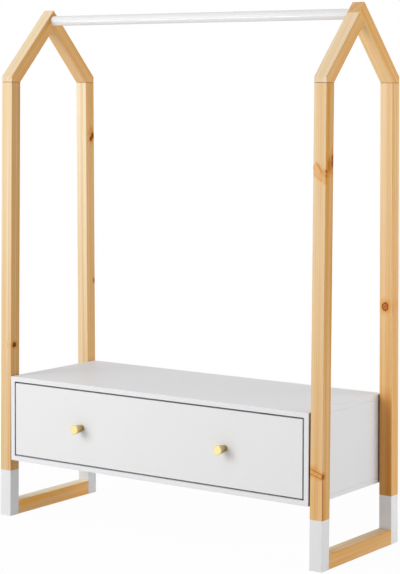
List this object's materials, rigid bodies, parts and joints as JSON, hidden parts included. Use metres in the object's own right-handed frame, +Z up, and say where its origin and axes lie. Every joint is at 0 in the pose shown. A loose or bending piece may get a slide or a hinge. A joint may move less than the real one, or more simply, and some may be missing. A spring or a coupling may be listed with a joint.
{
  "type": "kids clothing rack",
  "caption": "House-shaped kids clothing rack: pine end frames with white-dipped feet, a white hanging rail at the ridge and a white box with a wide drawer on roller runners.",
  "frame": {"origin": "on the floor, under the middle of the rack's bounding box", "axes": "+X to the right across the rack, +Y to the back, +Z up; the drawer opens towards -Y"},
  "size_m": [0.95, 0.374, 1.2722],
  "materials": {
    "pine": "clear satin lacquer",
    "white_paint": "satin paint",
    "white_hardboard": "smooth painted",
    "beech": "raw",
    "brass": "satin",
    "insert_brass": "raw",
    "zinc_steel": "zinc plated",
    "runner_paint": "epoxy coated",
    "roller_plastic": "moulded",
    "dark_plastic": "moulded"
  },
  "bodies": {
    "stand": {"left_front_leg": "pine", "left_front_rafter": "pine", "left_rear_leg": "pine", "left_rear_rafter": "pine", "right_front_leg": "pine", "right_front_rafter": "pine", "right_rear_leg": "pine", "right_rear_rafter": "pine", "left_stretcher": "pine", "right_stretcher": "pine", "leg_dowels": "beech", "stretcher_dowels": "beech", "ridge_dowels": "beech", "clothes_rail": "white_paint", "box_top": "white_paint", "box_bottom": "white_paint", "box_left_side": "white_paint", "box_right_side": "white_paint", "box_back": "white_hardboard", "box_dowels": "beech", "cam_discs": "zinc_steel", "cam_bolts": "zinc_steel", "base_screws": "zinc_steel", "box_spacers": "dark_plastic", "box_bolts": "zinc_steel", "leg_inserts": "insert_brass", "left_box_runner": "runner_paint", "right_box_runner": "runner_paint", "front_roller_axles": "zinc_steel", "box_runner_screws": "zinc_steel"},
    "drawer": {"drawer_front": "white_paint", "drawer_left_side": "white_paint", "drawer_right_side": "white_paint", "drawer_back": "white_paint", "drawer_bottom": "white_hardboard", "drawer_dowels": "beech", "drawer_back_screws": "zinc_steel", "left_knob": "brass", "right_knob": "brass", "knob_screws": "zinc_steel", "left_drawer_runner": "runner_paint", "right_drawer_runner": "runner_paint", "rear_roller_axles": "zinc_steel", "drawer_runner_screws": "zinc_steel"},
    "left_front_roller": {"left_front_roller": "roller_plastic"},
    "left_rear_roller": {"left_rear_roller": "roller_plastic"},
    "right_front_roller": {"right_front_roller": "roller_plastic"},
    "right_rear_roller": {"right_rear_roller": "roller_plastic"}
  },
  "joints": [
    {"name": "drawer_slide", "type": "slide", "parent": "stand", "child": "drawer", "axis": [0, -1, 0], "range_m": [0, 0.25]},
    {"name": "left_front_roller_turn", "type": "hinge", "parent": "stand", "child": "left_front_roller", "pos_m": [-0.42075, -0.133, 0.1828], "axis": [1, 0, 0], "continuous": true},
    {"name": "left_rear_roller_turn", "type": "hinge", "parent": "drawer", "child": "left_rear_roller", "pos_m": [-0.42075, 0.147, 0.1825], "axis": [1, 0, 0], "continuous": true},
    {"name": "right_front_roller_turn", "type": "hinge", "parent": "stand", "child": "right_front_roller", "pos_m": [0.42075, -0.133, 0.1828], "axis": [1, 0, 0], "continuous": true},
    {"name": "right_rear_roller_turn", "type": "hinge", "parent": "drawer", "child": "right_rear_roller", "pos_m": [0.42075, 0.147, 0.1825], "axis": [1, 0, 0], "continuous": true}
  ],
  "couplings": [
    {"joint": "left_front_roller_turn", "follows": "drawer_slide", "rad_per_m": 142.86},
    {"joint": "left_rear_roller_turn", "follows": "drawer_slide", "rad_per_m": 142.86},
    {"joint": "right_front_roller_turn", "follows": "drawer_slide", "rad_per_m": 142.86},
    {"joint": "right_rear_roller_turn", "follows": "drawer_slide", "rad_per_m": 142.86}
  ]
}
